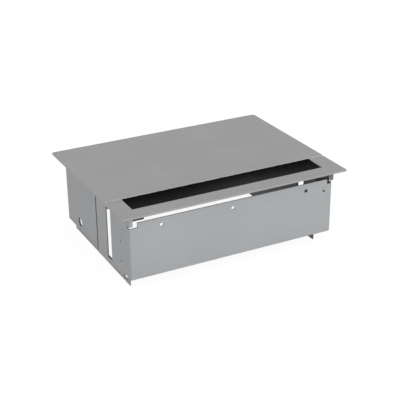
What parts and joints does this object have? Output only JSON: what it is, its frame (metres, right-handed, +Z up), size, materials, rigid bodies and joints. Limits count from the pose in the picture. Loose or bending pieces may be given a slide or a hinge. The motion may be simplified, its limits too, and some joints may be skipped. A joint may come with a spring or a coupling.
{
  "type": "recessed socket box",
  "caption": "Recessed table socket box: folded sheet shell with an outward rim, hinged lid, brush cable outlet and a tilted socket strip inside.",
  "frame": {"origin": "centre of the footprint at the lowest edge of the box, which is the foot of the left end plate", "axes": "+X along the hinge, towards the cable compartment; +Y from the brush side to the hinge side; +Z up, out of the table"},
  "size_m": [0.3, 0.228, 0.095],
  "materials": {
    "shell_paint": "matt silver-grey powder coat on folded steel sheet",
    "plate_steel": "dark zinc-phosphated sheet, not painted",
    "top_paint": "fine matt silver-grey powder coat on steel sheet",
    "zinc_steel": "zinc-plated steel",
    "brush_black": "black moulded plastic",
    "bristle_black": "black nylon bristles",
    "strip_aluminium": "natural anodised extrusion",
    "socket_black": "black moulded plastic, fine eroded texture",
    "cap_black": "black moulded plastic",
    "contact_brass": "stamped brass",
    "earth_steel": "nickel-plated spring strip",
    "buffer_rubber": "thin black rubber dots"
  },
  "bodies": {
    "box": {"front_wall": "shell_paint", "rear_wall": "shell_paint", "hinge_rail": "shell_paint", "left_end_plate": "shell_paint", "right_end_plate": "plate_steel", "right_joint_strap": "plate_steel", "front_strip": "top_paint", "left_rivets": "zinc_steel", "strap_rivets": "zinc_steel", "partition_front_rivet": "zinc_steel", "partition_rear_rivet": "zinc_steel", "rail_rivets": "zinc_steel", "brush_screws": "zinc_steel", "strip_screws": "zinc_steel", "hinge_pin": "zinc_steel", "brush_bar": "brush_black", "brush_clip_left": "brush_black", "brush_clip_right": "brush_black", "brush_bristles": "bristle_black", "strip_housing": "strip_aluminium", "socket_1": "socket_black", "socket_2": "socket_black", "socket_3": "socket_black", "socket_4": "socket_black", "strip_end_cap_left": "cap_black", "strip_end_cap_right": "cap_black", "cable_gland": "cap_black", "live_rail": "contact_brass", "neutral_rail": "contact_brass", "earth_clips": "earth_steel", "lid_buffers": "buffer_rubber"},
    "lid": {"lid_panel": "top_paint", "lid_stiffener": "top_paint"}
  },
  "joints": [
    {"name": "lid_hinge", "type": "hinge", "parent": "box", "child": "lid", "pos_m": [0, 0.1126, 0.0936], "axis": [-1, 0, 0], "range_deg": [0, 180]}
  ]
}
